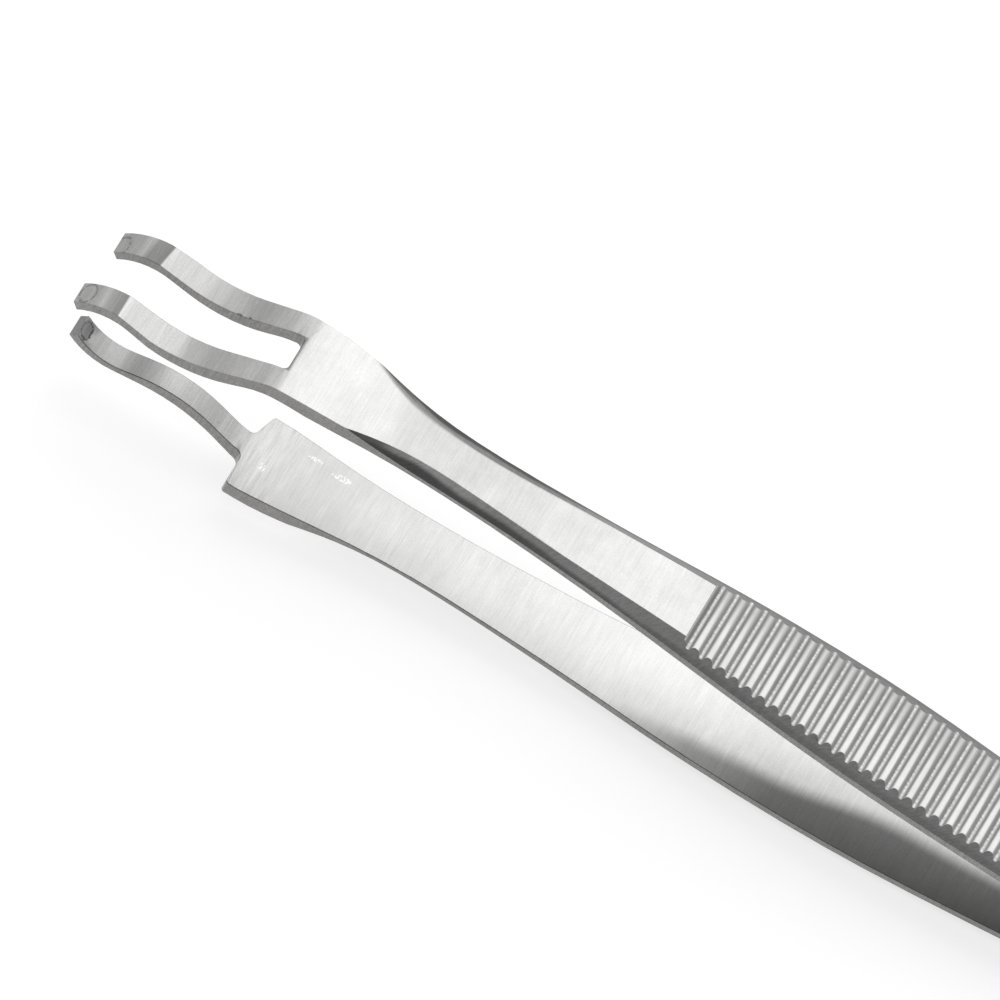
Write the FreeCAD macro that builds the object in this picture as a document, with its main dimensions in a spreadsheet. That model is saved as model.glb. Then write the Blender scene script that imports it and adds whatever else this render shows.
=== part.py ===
import FreeCAD, Part
import math
import os
import Sketcher

# Three-claw holding tweezers: two ground steel arms welded face to face at the heel.
# Both arms are drawn in the same position: X runs from the claw tips (0) to the heel,
# Z = 0 is the plane between the arms, and the arm's outer face looks up (+Z).
# Sizes are millimetres and degrees.

os.makedirs("parts", exist_ok=True)
doc = FreeCAD.newDocument("HoldingTweezers")

# Plan and thickness of the arm blade at named places along it: distance from the tips,
# width, how far the outer face stands over the long bow of the back, thickness, width of
# the ground side bevel, and height of the upright edge left under that bevel.
# A negative bevel is a grinding plane still clear of the arm.
STATIONS = [
    ("jaw_front", 19.1, 8.25, 0.597, 1.27, -0.4, 1.46),
    ("jaw_back", 24.0, 7.45, 0.321, 1.24, 0.05, 1.215),
    ("neck_front", 29.0, 6.55, -0.189, 0.98, 1.0, 0.5),
    ("waist", 35.0, 6.2, -0.525, 0.9, 1.15, 0.42),
    ("neck_rear", 43.0, 6.7, -0.449, 1.05, 0.93, 0.5),
    ("flare", 49.5, 7.5, -0.23, 1.3, 1.0, 0.6),
    ("grip_front", 56.0, 8.65, 0.0, 1.5, 1.35, 0.62),
    ("grip_swell", 65.0, 9.95, 0.0, 1.5, 1.48, 0.62),
    ("grip_widest", 75.5, 10.55, 0.0, 1.5, 1.6, 0.62),
    ("grip_taper", 86.0, 10.0, 0.0, 1.5, 1.4, 0.62),
    ("grip_rear", 96.0, 9.15, 0.0, 1.48, 1.2, 0.65),
    ("shank", 107.0, 8.4, 0.0, 1.45, 0.9, 0.75),
    ("heel_bend", 117.0, 8.1, 0.208, 1.45, 0.7, 0.85),
    ("heel_end", 130.0, 8.0, 1.801, 1.5, 0.6, 0.95),
]

# Each claw face is a chain of tangent lines and arcs from the jaw plate to the tip.
# A bend or crown turns the claw inwards, a dip turns it outwards again.
CLAW_FACES = {
    "fork_outer": [
        ("bend", 5.2, 23.7),
        ("slope", 3.78),
        ("dip", 11.0, 31.9),
        ("rise", 2.78),
        ("crease", 0.4, 10.0),
        ("crown", 5.5, 44.0),
    ],
    "fork_inner": [
        ("bend", 6.3, 27.2),
        ("slope", 1.36),
        ("dip", 11.2, 36.8),
        ("rise", 2.15),
        ("crown", 5.0, 54.7),
    ],
    "single_outer": [
        ("bend", 3.3, 22.9),
        ("slope", 1.79),
        ("dip", 13.8, 31.2),
        ("rise", 2.59),
        ("crown", 5.7, 46.0),
    ],
    "single_inner": [
        ("bend", 5.3, 20.7),
        ("slope", 2.03),
        ("dip", 11.0, 35.6),
        ("rise", 1.65),
        ("crown", 5.0, 54.3),
    ],
}

OTHER_SIZES = [
    ("back_radius", 700.0, "radius of the long bow of the arm's outer face"),
    ("back_crest_x", 28.0, "where that bow is level"),
    ("heel_height", 1.4, "height of the outer face at the heel's end"),
    ("bend_start_x", 18.2, "where the claws start to bend"),
    ("slot_end_x", 17.5, "end of the slot between the fork's claws"),
    ("slot_root_width", 3.86, "slot width at its end"),
    ("slot_tip_width", 4.02, "slot width just past the tips"),
    ("slot_corner", 0.5, "corner radius of the slot"),
    ("fork_wide_x", 7.0, "where the two claws together are widest"),
    ("fork_wide_span", 9.2, "width over both claws there"),
    ("fork_tip_span", 8.1, "width they narrow towards, just past the tips"),
    ("short_claw_trim", 0.65, "how much sooner the further claw of the fork turns in"),
    ("shoulder_x", 17.9, "square shoulder beside the single claw"),
    ("shoulder_slant_x", 18.6, "outer corner of that shoulder on its slanted side"),
    ("single_width", 2.25, "width of the single claw"),
    ("single_offset", -0.41, "how far the single claw sits off the middle"),
    ("root_fillet", 0.6, "fillet beside the single claw"),
    ("shoulder_corner", 0.35, "rounding of the square shoulder"),
    ("heel_corner", 2.6, "rounding of the heel's corners"),
    ("grip_start_x", 55.9, "where the roughened grip starts"),
    ("grip_sink", 0.19, "how far the grip ridges lie under the plain face"),
    ("groove_pitch", 1.3, "distance from groove to groove"),
    ("groove_count", 29, "number of grooves"),
    ("groove_floor", 0.28, "width of a groove's flat floor"),
    ("groove_depth", 0.25, "depth of a groove under its ridges"),
    ("ridge_flat", 0.1, "flat left on top of a ridge"),
    ("seat_along", 1.35, "half length of the oval that cuts a claw's seat, along the claw"),
    ("seat_across", 2.0, "half width of that oval, across the claw"),
    ("seat_height", 1.0, "half height of that oval"),
    ("seat_depth", 0.13, "depth of the seats in the claw tips"),
    ("seat_back", 0.82, "seat centre, back from the tip along the inner face"),
]

CLEAR = 0.6
BLANK = 12.0
TIP_CLEAR = 3.0
SAME_PLACE = 0.02

sizes = doc.addObject("Spreadsheet::Sheet", "Sizes")
derived = doc.addObject("Spreadsheet::Sheet", "Derived")
sheet_of = {}


def add_cell(sheet, alias, text, meaning=""):
    """Write one named value on its own row of a sheet."""
    row = 1 + sum(1 for owner in sheet_of.values() if owner is sheet)
    sheet.set(f"A{row}", alias)
    sheet.set(f"B{row}", text)
    sheet.set(f"C{row}", meaning)
    sheet.setAlias(f"B{row}", alias)
    sheet_of[alias] = sheet


def add_driving_sizes():
    for place, *numbers in STATIONS:
        words = ("x", "width", "lift", "thickness", "bevel", "land")
        for word, number in zip(words, numbers):
            add_cell(sizes, f"{place}_{word}", str(number), f"{word} at the {place}")
    for face, steps in CLAW_FACES.items():
        for kind, *numbers in steps:
            if len(numbers) == 1:
                add_cell(sizes, f"{face}_{kind}_run", str(numbers[0]), f"straight {kind}, {face}")
            else:
                add_cell(sizes, f"{face}_{kind}_radius", str(numbers[0]), f"{kind} radius, {face}")
                add_cell(sizes, f"{face}_{kind}_angle", str(numbers[1]), f"{kind} turn, {face}")
    for alias, number, meaning in OTHER_SIZES:
        add_cell(sizes, alias, str(number), meaning)


def add_derived_sizes():
    """Work out what follows from the driving sizes, as formulas."""
    bow = "(Sizes.{}_x - Sizes.back_crest_x)^2 / (2 * Sizes.back_radius)"
    heel_bow = bow.format("heel_end")
    add_cell(derived, "back_height", f"=Sizes.heel_height - Sizes.heel_end_lift + {heel_bow}")
    for place, *_ in STATIONS:
        height = f"=Derived.back_height - {bow.format(place)} + Sizes.{place}_lift"
        add_cell(derived, f"{place}_height", height)
    for place, *_ in STATIONS:
        rise = f"{CLEAR} * (Sizes.{place}_thickness - Sizes.{place}_land) / Sizes.{place}_bevel"
        fall = f"Sizes.{place}_thickness - Sizes.{place}_land"
        add_cell(derived, f"{place}_half", f"=Sizes.{place}_width / 2")
        add_cell(derived, f"{place}_bevel_y", f"=Sizes.{place}_width / 2 + {CLEAR}")
        add_cell(derived, f"{place}_bevel_z", f"={named(place + '_height')} + {rise}")
        add_cell(derived, f"{place}_bevel_span", f"=Sizes.{place}_bevel + 2 * {CLEAR}")
        add_cell(derived, f"{place}_bevel_drop", f"={fall} + 2 * {rise}")
    ridge_radius = "Sizes.back_radius - Sizes.grip_sink"
    turn = "180 / pi / Sizes.back_radius"
    first = "Sizes.grip_start_x + Sizes.groove_pitch / 2 - Sizes.back_crest_x - Sizes.ridge_flat"
    add_cell(derived, "jaw_inner", "=Derived.jaw_front_height - Sizes.jaw_front_thickness")
    add_cell(derived, "ridge_radius", f"={ridge_radius}")
    add_cell(derived, "back_centre_z", "=Derived.back_height - Sizes.back_radius")
    add_cell(derived, "groove_floor_z", f"={ridge_radius} - Sizes.groove_depth")
    add_cell(derived, "groove_top_z", f"={ridge_radius} + {CLEAR}")
    add_cell(derived, "groove_half", "=(Sizes.groove_pitch - Sizes.ridge_flat) / 2")
    add_cell(derived, "groove_floor_half", "=Sizes.groove_floor / 2")
    add_cell(derived, "groove_first_angle", f"=({first}) * {turn}")
    add_cell(derived, "groove_fan", f"=(Sizes.groove_count - 1) * Sizes.groove_pitch * {turn}")
    add_cell(derived, "grip_end_x", "=Sizes.grip_start_x + Sizes.groove_count * Sizes.groove_pitch")
    add_cell(derived, "slot_root_half", "=Sizes.slot_root_width / 2")
    add_cell(derived, "slot_tip_half", "=Sizes.slot_tip_width / 2")
    add_cell(derived, "fork_tip_half", "=Sizes.fork_tip_span / 2")
    add_cell(derived, "fork_wide_half", "=Sizes.fork_wide_span / 2")
    add_cell(derived, "fork_claw_y", "=(Sizes.slot_tip_width + Sizes.fork_wide_span) / 4")
    add_cell(derived, "single_left", "=Sizes.single_offset + Sizes.single_width / 2")
    add_cell(derived, "single_right", "=Sizes.single_offset - Sizes.single_width / 2")


def named(alias):
    """The expression that stands for a named value."""
    return f"{sheet_of[alias].Name}.{alias}"


def size(alias):
    """The number that a named value holds."""
    return float(sheet_of[alias].get(alias))


def origin_plane(body, role):
    return next(item for item in body.Origin.OriginFeatures if item.Role == role)


def new_sketch(body, name, role):
    sketch = body.newObject("Sketcher::SketchObject", name)
    sketch.AttachmentSupport = [(origin_plane(body, role), "")]
    sketch.MapMode = "FlatFace"
    return sketch


def bind(sketch, constraint, alias):
    """Add a constraint and tie its value to a named value."""
    index = sketch.addConstraint(constraint)
    sketch.setExpression(f"Constraints[{index}]", named(alias))


def pin_point(sketch, edge, end, across, up):
    """Fix an edge's end at two named distances from the sketch's origin; a bare number is fixed."""
    for kind, where in (("DistanceX", across), ("DistanceY", up)):
        if isinstance(where, str):
            sign = -1 if where.startswith("-") else 1
            alias = where.lstrip("-")
            index = sketch.addConstraint(Sketcher.Constraint(kind, -1, 1, edge, end, sign * size(alias)))
            sketch.setExpression(f"Constraints[{index}]", f"{sign} * {named(alias)}")
        else:
            sketch.addConstraint(Sketcher.Constraint(kind, -1, 1, edge, end, where))


def point_of(corner):
    """The place of a corner given as named or bare distances."""
    numbers = []
    for where in corner:
        if isinstance(where, str):
            sign = -1 if where.startswith("-") else 1
            numbers.append(sign * size(where.lstrip("-")))
        else:
            numbers.append(where)
    return FreeCAD.Vector(numbers[0], numbers[1], 0)


def add_polygon(sketch, corners):
    """Draw a closed outline through corners, each one pinned by its named distances."""
    places = [point_of(corner) for corner in corners]
    edges = []
    for index, place in enumerate(places):
        after = places[(index + 1) % len(places)]
        edges.append(sketch.addGeometry(Part.LineSegment(place, after), False))
    for index, edge in enumerate(edges):
        after = edges[(index + 1) % len(edges)]
        sketch.addConstraint(Sketcher.Constraint("Coincident", edge, 2, after, 1))
    for edge, corner in zip(edges, corners):
        pin_point(sketch, edge, 1, *corner)
    return edges


def cut_through(body, name, sketch):
    """Cut a sketch's outlines right through the body, both ways from its plane."""
    pocket = body.newObject("PartDesign::Pocket", name)
    pocket.Profile = sketch
    pocket.SideType = "Symmetric"
    pocket.Length = 2 * BLANK
    return pocket


def section_at(body, name, place):
    """The blade's plain rectangular section at one station."""
    sketch = new_sketch(body, name, "YZ_Plane")
    sketch.setExpression(".AttachmentOffset.Base.z", named(f"{place}_x"))
    half = size(f"{place}_half")
    top = size(f"{place}_height")
    bottom = top - size(f"{place}_thickness")
    corners = [(-half, bottom), (half, bottom), (half, top), (-half, top)]
    places = [FreeCAD.Vector(across, up, 0) for across, up in corners]
    for index, start in enumerate(places):
        sketch.addGeometry(Part.LineSegment(start, places[(index + 1) % 4]), False)
    for index in range(4):
        sketch.addConstraint(Sketcher.Constraint("Coincident", index, 2, (index + 1) % 4, 1))
    for index in (0, 2):
        sketch.addConstraint(Sketcher.Constraint("Horizontal", index))
    for index in (1, 3):
        sketch.addConstraint(Sketcher.Constraint("Vertical", index))
    bind(sketch, Sketcher.Constraint("DistanceX", -1, 1, 2, 1, half), f"{place}_half")
    bind(sketch, Sketcher.Constraint("DistanceY", -1, 1, 2, 1, top), f"{place}_height")
    bind(sketch, Sketcher.Constraint("DistanceX", 0, 1, 0, 2, 2 * half), f"{place}_width")
    bind(sketch, Sketcher.Constraint("DistanceY", 1, 1, 1, 2, top - bottom), f"{place}_thickness")
    return sketch


def add_blade(body):
    """Loft the arm's blade from the jaw plate to the heel."""
    sections = [section_at(body, f"Section_{place}", place) for place, *_ in STATIONS]
    blade = body.newObject("PartDesign::AdditiveLoft", "Blade")
    blade.Profile = sections[0]
    blade.Sections = sections[1:]
    blade.Ruled = False


def flatten_weld_face(body):
    """Grind the inner face flat where it meets the other arm."""
    sketch = new_sketch(body, "WeldPlane", "XZ_Plane")
    add_polygon(sketch, [
        ("grip_end_x", -BLANK),
        (size("heel_end_x") + BLANK, -BLANK),
        (size("heel_end_x") + BLANK, 0.0),
        ("grip_end_x", 0.0),
    ])
    cut_through(body, "WeldFace", sketch)


def walk_face(face, start, trim):
    """Walk a claw face towards the tip: its edges, and its heading and place at the end."""
    heading = 0.0
    place = start
    edges = []
    for kind, *numbers in CLAW_FACES[face]:
        outward = FreeCAD.Vector(-math.sin(heading), math.cos(heading), 0)
        if len(numbers) == 1:
            run = size(f"{face}_{kind}_run") - (trim if kind == "slope" else 0.0)
            after = place + FreeCAD.Vector(-math.cos(heading), -math.sin(heading), 0) * run
            edges.append((kind, Part.LineSegment(place, after), (1, 2)))
            place = after
            continue
        radius = size(f"{face}_{kind}_radius")
        turn = math.radians(size(f"{face}_{kind}_angle"))
        side = -1 if kind == "dip" else 1
        centre = place - outward * radius * side
        circle = Part.Circle(centre, FreeCAD.Vector(0, 0, 1), radius)
        first = math.pi / 2 + heading + (0 if side == 1 else math.pi)
        heading += turn * side
        last = first + turn * side
        ends = (1, 2) if side == 1 else (2, 1)
        edges.append((kind, Part.ArcOfCircle(circle, min(first, last), max(first, last)), ends))
        place = centre + FreeCAD.Vector(-math.sin(heading), math.cos(heading), 0) * radius * side
    return edges, heading, place


def draw_face(sketch, face, height, trim):
    """Draw one claw face as tangent lines and arcs, and return its first and last edge."""
    root = FreeCAD.Vector(size("jaw_front_x"), size(height), 0)
    bend = FreeCAD.Vector(size("bend_start_x"), size(height), 0)
    first = sketch.addGeometry(Part.LineSegment(root, bend), False)
    sketch.addConstraint(Sketcher.Constraint("Horizontal", first))
    pin_point(sketch, first, 1, "jaw_front_x", height)
    bind(sketch, Sketcher.Constraint("DistanceX", -1, 1, first, 2, bend.x), "bend_start_x")
    before, before_end = first, 2
    for kind, shape, (start, end) in walk_face(face, bend, trim)[0]:
        edge = sketch.addGeometry(shape, False)
        sketch.addConstraint(Sketcher.Constraint("Tangent", before, before_end, edge, start))
        if isinstance(shape, Part.LineSegment):
            length = shape.length()
            index = sketch.addConstraint(Sketcher.Constraint("Distance", edge, length))
            less = " - Sizes.short_claw_trim" if kind == "slope" and trim else ""
            sketch.setExpression(f"Constraints[{index}]", named(f"{face}_{kind}_run") + less)
        else:
            sweep = shape.LastParameter - shape.FirstParameter
            bind(sketch, Sketcher.Constraint("Radius", edge, shape.Radius), f"{face}_{kind}_radius")
            bind(sketch, Sketcher.Constraint("Angle", edge, sweep), f"{face}_{kind}_angle")
        before, before_end = edge, end
    return first, (before, before_end)


def add_claw(body, name, outer, inner, trim=0.0, side=None):
    """Pad a claw's side profile; side is None for both ways, or the way along Y."""
    sketch = new_sketch(body, f"{name}Profile", "XZ_Plane")
    outer_root, outer_tip = draw_face(sketch, outer, "jaw_front_height", trim)
    inner_root, inner_tip = draw_face(sketch, inner, "jaw_inner", trim)
    for (edge, end), (other, other_end) in (((outer_root, 1), (inner_root, 1)), (outer_tip, inner_tip)):
        start = sketch.getPoint(edge, end)
        finish = sketch.getPoint(other, other_end)
        cap = sketch.addGeometry(Part.LineSegment(start, finish), False)
        sketch.addConstraint(Sketcher.Constraint("Coincident", cap, 1, edge, end))
        sketch.addConstraint(Sketcher.Constraint("Coincident", cap, 2, other, other_end))
    pad = body.newObject("PartDesign::Pad", name)
    pad.Profile = sketch
    pad.Length = BLANK / 2
    if side is None:
        pad.Length = BLANK
        pad.SideType = "Symmetric"
    else:
        pad.Reversed = side > 0


def trim_fork(body):
    """Cut the fork's plan: the slot between the claws and the waste beside them."""
    sketch = new_sketch(body, "ForkPlan", "XY_Plane")
    add_polygon(sketch, [
        ("slot_end_x", "-slot_root_half"),
        ("slot_end_x", "slot_root_half"),
        (-TIP_CLEAR, "slot_tip_half"),
        (-TIP_CLEAR, "-slot_tip_half"),
    ])
    for sign in ("", "-"):
        waste = -BLANK if sign else BLANK
        add_polygon(sketch, [
            ("jaw_front_x", f"{sign}jaw_front_half"),
            ("fork_wide_x", f"{sign}fork_wide_half"),
            (-TIP_CLEAR, f"{sign}fork_tip_half"),
            (-TIP_CLEAR, waste),
            ("jaw_front_x", waste),
        ])
    cut_through(body, "ForkOutline", sketch)


def trim_single(body):
    """Cut the single claw's plan: it leaves the square shoulder a little off the middle."""
    sketch = new_sketch(body, "SinglePlan", "XY_Plane")
    add_polygon(sketch, [
        ("shoulder_x", "single_left"),
        (-TIP_CLEAR, "single_left"),
        (-TIP_CLEAR, BLANK),
        ("shoulder_x", BLANK),
    ])
    add_polygon(sketch, [
        ("shoulder_x", "single_right"),
        (-TIP_CLEAR, "single_right"),
        (-TIP_CLEAR, -BLANK),
        ("shoulder_slant_x", -BLANK),
        ("shoulder_slant_x", "-jaw_front_half"),
    ])
    cut_through(body, "SingleOutline", sketch)
    sides = new_sketch(body, "ShoulderPlan", "XY_Plane")
    for sign in ("", "-"):
        waste = -BLANK if sign else BLANK
        add_polygon(sides, [
            ("jaw_front_x", f"{sign}jaw_front_half"),
            (-TIP_CLEAR, f"{sign}jaw_front_half"),
            (-TIP_CLEAR, waste),
            ("jaw_front_x", waste),
        ])
    cut_through(body, "ShoulderSides", sides)


def round_upright_edges(body, name, radius, places):
    """Fillet the upright edges that stand at the given places in plan."""
    doc.recompute()
    base = body.Tip
    chosen = []
    for number, edge in enumerate(base.Shape.Edges, 1):
        ends = [vertex.Point for vertex in edge.Vertexes]
        for x, y in places:
            if len(ends) == 2 and all(math.hypot(end.x - x, end.y - y) < SAME_PLACE for end in ends):
                chosen.append(f"Edge{number}")
    if len(chosen) < len(places):
        raise RuntimeError(f"{body.Label}: {name} found {len(chosen)} of {len(places)} edges")
    fillet = body.newObject("PartDesign::Fillet", name)
    fillet.Base = (base, chosen)
    fillet.setExpression("Radius", named(radius))
    body.Tip = fillet


def grind_bevels(body):
    """Grind the long side bevels off the outer face, one lofted cut and its mirror."""
    sections = []
    for place, *_ in STATIONS:
        sketch = new_sketch(body, f"Bevel_{place}", "YZ_Plane")
        sketch.setExpression(".AttachmentOffset.Base.z", named(f"{place}_x"))
        corner = FreeCAD.Vector(size(f"{place}_bevel_y"), size(f"{place}_bevel_z"), 0)
        inner = corner - FreeCAD.Vector(size(f"{place}_bevel_span"), 0, 0)
        lower = corner - FreeCAD.Vector(0, size(f"{place}_bevel_drop"), 0)
        for start, end in ((inner, lower), (lower, corner), (corner, inner)):
            sketch.addGeometry(Part.LineSegment(start, end), False)
        for index in range(3):
            sketch.addConstraint(Sketcher.Constraint("Coincident", index, 2, (index + 1) % 3, 1))
        sketch.addConstraint(Sketcher.Constraint("Vertical", 1))
        sketch.addConstraint(Sketcher.Constraint("Horizontal", 2))
        pin_point(sketch, 2, 1, f"{place}_bevel_y", f"{place}_bevel_z")
        span = Sketcher.Constraint("DistanceX", 2, 2, 2, 1, corner.x - inner.x)
        drop = Sketcher.Constraint("DistanceY", 1, 1, 1, 2, corner.y - lower.y)
        bind(sketch, span, f"{place}_bevel_span")
        bind(sketch, drop, f"{place}_bevel_drop")
        sections.append(sketch)
    cut = body.newObject("PartDesign::SubtractiveLoft", "SideBevel")
    cut.Profile = sections[0]
    cut.Sections = sections[1:]
    cut.Ruled = False
    doc.recompute()
    mirror = body.newObject("PartDesign::Mirrored", "OtherSideBevel")
    mirror.Originals = [cut]
    mirror.MirrorPlane = (origin_plane(body, "XZ_Plane"), [""])
    body.Tip = mirror


def cut_grip(body):
    """Sink the grip a little and cut its row of grooves along the bow of the back."""
    centre = FreeCAD.Vector(size("back_crest_x"), size("back_centre_z"), 0)
    radius = size("ridge_radius")
    ends = [size("grip_start_x"), size("grip_end_x")]
    floor = [FreeCAD.Vector(x, centre.y + math.sqrt(radius**2 - (x - centre.x)**2), 0) for x in ends]
    turns = [math.acos((place.x - centre.x) / radius) for place in floor]
    sketch = new_sketch(body, "GripSinkProfile", "XZ_Plane")
    circle = Part.Circle(centre, FreeCAD.Vector(0, 0, 1), radius)
    sketch.addGeometry(Part.ArcOfCircle(circle, turns[1], turns[0]), False)
    above = size("back_height") + CLEAR
    corners = [floor[0], FreeCAD.Vector(ends[0], above, 0), FreeCAD.Vector(ends[1], above, 0), floor[1]]
    for start, end in zip(corners, corners[1:]):
        sketch.addGeometry(Part.LineSegment(start, end), False)
    sketch.addConstraint(Sketcher.Constraint("Coincident", 0, 2, 1, 1))
    sketch.addConstraint(Sketcher.Constraint("Coincident", 1, 2, 2, 1))
    sketch.addConstraint(Sketcher.Constraint("Coincident", 2, 2, 3, 1))
    sketch.addConstraint(Sketcher.Constraint("Coincident", 3, 2, 0, 1))
    sketch.addConstraint(Sketcher.Constraint("Vertical", 1))
    sketch.addConstraint(Sketcher.Constraint("Vertical", 3))
    sketch.addConstraint(Sketcher.Constraint("Horizontal", 2))
    pin_point(sketch, 0, 3, "back_crest_x", "back_centre_z")
    bind(sketch, Sketcher.Constraint("Radius", 0, radius), "ridge_radius")
    bind(sketch, Sketcher.Constraint("DistanceX", -1, 1, 1, 1, ends[0]), "grip_start_x")
    bind(sketch, Sketcher.Constraint("DistanceX", -1, 1, 3, 2, ends[1]), "grip_end_x")
    sketch.addConstraint(Sketcher.Constraint("DistanceY", -1, 1, 2, 1, above))
    cut_through(body, "GripSink", sketch)

    groove = new_sketch(body, "GrooveProfile", "XZ_Plane")
    groove.setExpression(".AttachmentOffset.Base.x", named("back_crest_x"))
    groove.setExpression(".AttachmentOffset.Base.y", named("back_centre_z"))
    groove.setExpression(".AttachmentOffset.Rotation.Angle", f"-1 * {named('groove_first_angle')}")
    draw_groove(groove)
    first = cut_through(body, "Groove", groove)
    doc.recompute()
    pattern = body.newObject("PartDesign::PolarPattern", "Grooves")
    pattern.Originals = [first]
    pattern.Axis = (groove, ["N_Axis"])
    pattern.Reversed = True
    pattern.setExpression("Angle", named("groove_fan"))
    pattern.setExpression("Occurrences", named("groove_count"))
    body.Tip = pattern


def draw_groove(sketch):
    """One groove on its own centre line: a flat floor between two rounded ridge flanks."""
    floor = size("groove_floor_z")
    crest = size("ridge_radius")
    top = size("groove_top_z")
    half = size("groove_half")
    foot = size("groove_floor_half")
    depth = crest - floor
    flank = ((half - foot)**2 + depth**2) / (2 * depth)
    sweep = math.asin((half - foot) / flank)
    level = math.pi / 2
    left = Part.Circle(FreeCAD.Vector(-half, crest - flank, 0), FreeCAD.Vector(0, 0, 1), flank)
    right = Part.Circle(FreeCAD.Vector(half, crest - flank, 0), FreeCAD.Vector(0, 0, 1), flank)
    sketch.addGeometry(Part.ArcOfCircle(left, level - sweep, level), False)
    sketch.addGeometry(Part.ArcOfCircle(right, level, level + sweep), False)
    path = [(-half, crest), (-half, top), (half, top), (half, crest)]
    places = [FreeCAD.Vector(across, up, 0) for across, up in path]
    for start, end in zip(places, places[1:]):
        sketch.addGeometry(Part.LineSegment(start, end), False)
    feet = [FreeCAD.Vector(-foot, floor, 0), FreeCAD.Vector(foot, floor, 0)]
    sketch.addGeometry(Part.LineSegment(feet[0], feet[1]), False)
    joints = [(0, 2, 2, 1), (2, 2, 3, 1), (3, 2, 4, 1), (4, 2, 1, 1), (1, 2, 5, 2), (5, 1, 0, 1)]
    for edge, end, other, other_end in joints:
        sketch.addConstraint(Sketcher.Constraint("Coincident", edge, end, other, other_end))
    sketch.addConstraint(Sketcher.Constraint("Vertical", 0, 3, 0, 2))
    sketch.addConstraint(Sketcher.Constraint("Vertical", 1, 3, 1, 1))
    sketch.addConstraint(Sketcher.Constraint("Horizontal", 5))
    pin_point(sketch, 5, 1, "-groove_floor_half", "groove_floor_z")
    pin_point(sketch, 2, 1, "-groove_half", "ridge_radius")
    pin_point(sketch, 4, 2, "groove_half", "ridge_radius")
    pin_point(sketch, 3, 1, "-groove_half", "groove_top_z")
    pin_point(sketch, 3, 2, "groove_half", "groove_top_z")
    bind(sketch, Sketcher.Constraint("DistanceX", -1, 1, 5, 2, foot), "groove_floor_half")


def sink_seat(body, name, face, y, trim=0.0):
    """Sink a shallow oval seat into a claw's inner face, just back from its tip."""
    bend = FreeCAD.Vector(size("bend_start_x"), size("jaw_inner"), 0)
    _, heading, tip = walk_face(face, bend, trim)
    crown = size(f"{face}_crown_radius")
    centre = tip - FreeCAD.Vector(-math.sin(heading), math.cos(heading), 0) * crown
    heading -= size("seat_back") / crown
    outward = FreeCAD.Vector(-math.sin(heading), math.cos(heading), 0)
    middle = centre + outward * (crown - size("seat_height") + size("seat_depth"))
    seat = body.newObject("PartDesign::SubtractiveEllipsoid", name)
    seat.setExpression("Radius1", named("seat_height"))
    seat.setExpression("Radius2", named("seat_along"))
    seat.setExpression("Radius3", named("seat_across"))
    lean = FreeCAD.Rotation(FreeCAD.Vector(0, 1, 0), -math.degrees(heading))
    seat.Placement = FreeCAD.Placement(FreeCAD.Vector(middle.x, y, middle.y), lean)


def finish_blade(body):
    """What both arms have behind the jaw plate."""
    grind_bevels(body)
    cut_grip(body)


def make_forked_arm():
    body = doc.addObject("PartDesign::Body", "ForkedArm")
    body.Label = "forked_arm"
    trim = size("short_claw_trim")
    add_blade(body)
    flatten_weld_face(body)
    heel = [(size("heel_end_x"), side * size("heel_end_half")) for side in (-1, 1)]
    round_upright_edges(body, "HeelCorners", "heel_corner", heel)
    add_claw(body, "LongClaw", "fork_outer", "fork_inner", side=-1)
    add_claw(body, "ShortClaw", "fork_outer", "fork_inner", trim=trim, side=1)
    trim_fork(body)
    slot = [(size("slot_end_x"), side * size("slot_root_half")) for side in (-1, 1)]
    round_upright_edges(body, "SlotCorners", "slot_corner", slot)
    finish_blade(body)
    sink_seat(body, "LongClawSeat", "fork_inner", -size("fork_claw_y"))
    sink_seat(body, "ShortClawSeat", "fork_inner", size("fork_claw_y"), trim)
    return body


def make_single_arm():
    body = doc.addObject("PartDesign::Body", "SingleArm")
    body.Label = "single_prong_arm"
    add_blade(body)
    flatten_weld_face(body)
    heel = [(size("heel_end_x"), side * size("heel_end_half")) for side in (-1, 1)]
    round_upright_edges(body, "HeelCorners", "heel_corner", heel)
    add_claw(body, "Claw", "single_outer", "single_inner")
    trim_single(body)
    roots = [(size("shoulder_x"), size("single_left")), (size("shoulder_x"), size("single_right"))]
    round_upright_edges(body, "RootFillets", "root_fillet", roots)
    half = size("jaw_front_half")
    corners = [(size("shoulder_x"), half), (size("shoulder_slant_x"), -half)]
    round_upright_edges(body, "ShoulderCorners", "shoulder_corner", corners)
    finish_blade(body)
    sink_seat(body, "ClawSeat", "single_inner", size("single_offset"))
    return body


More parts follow.
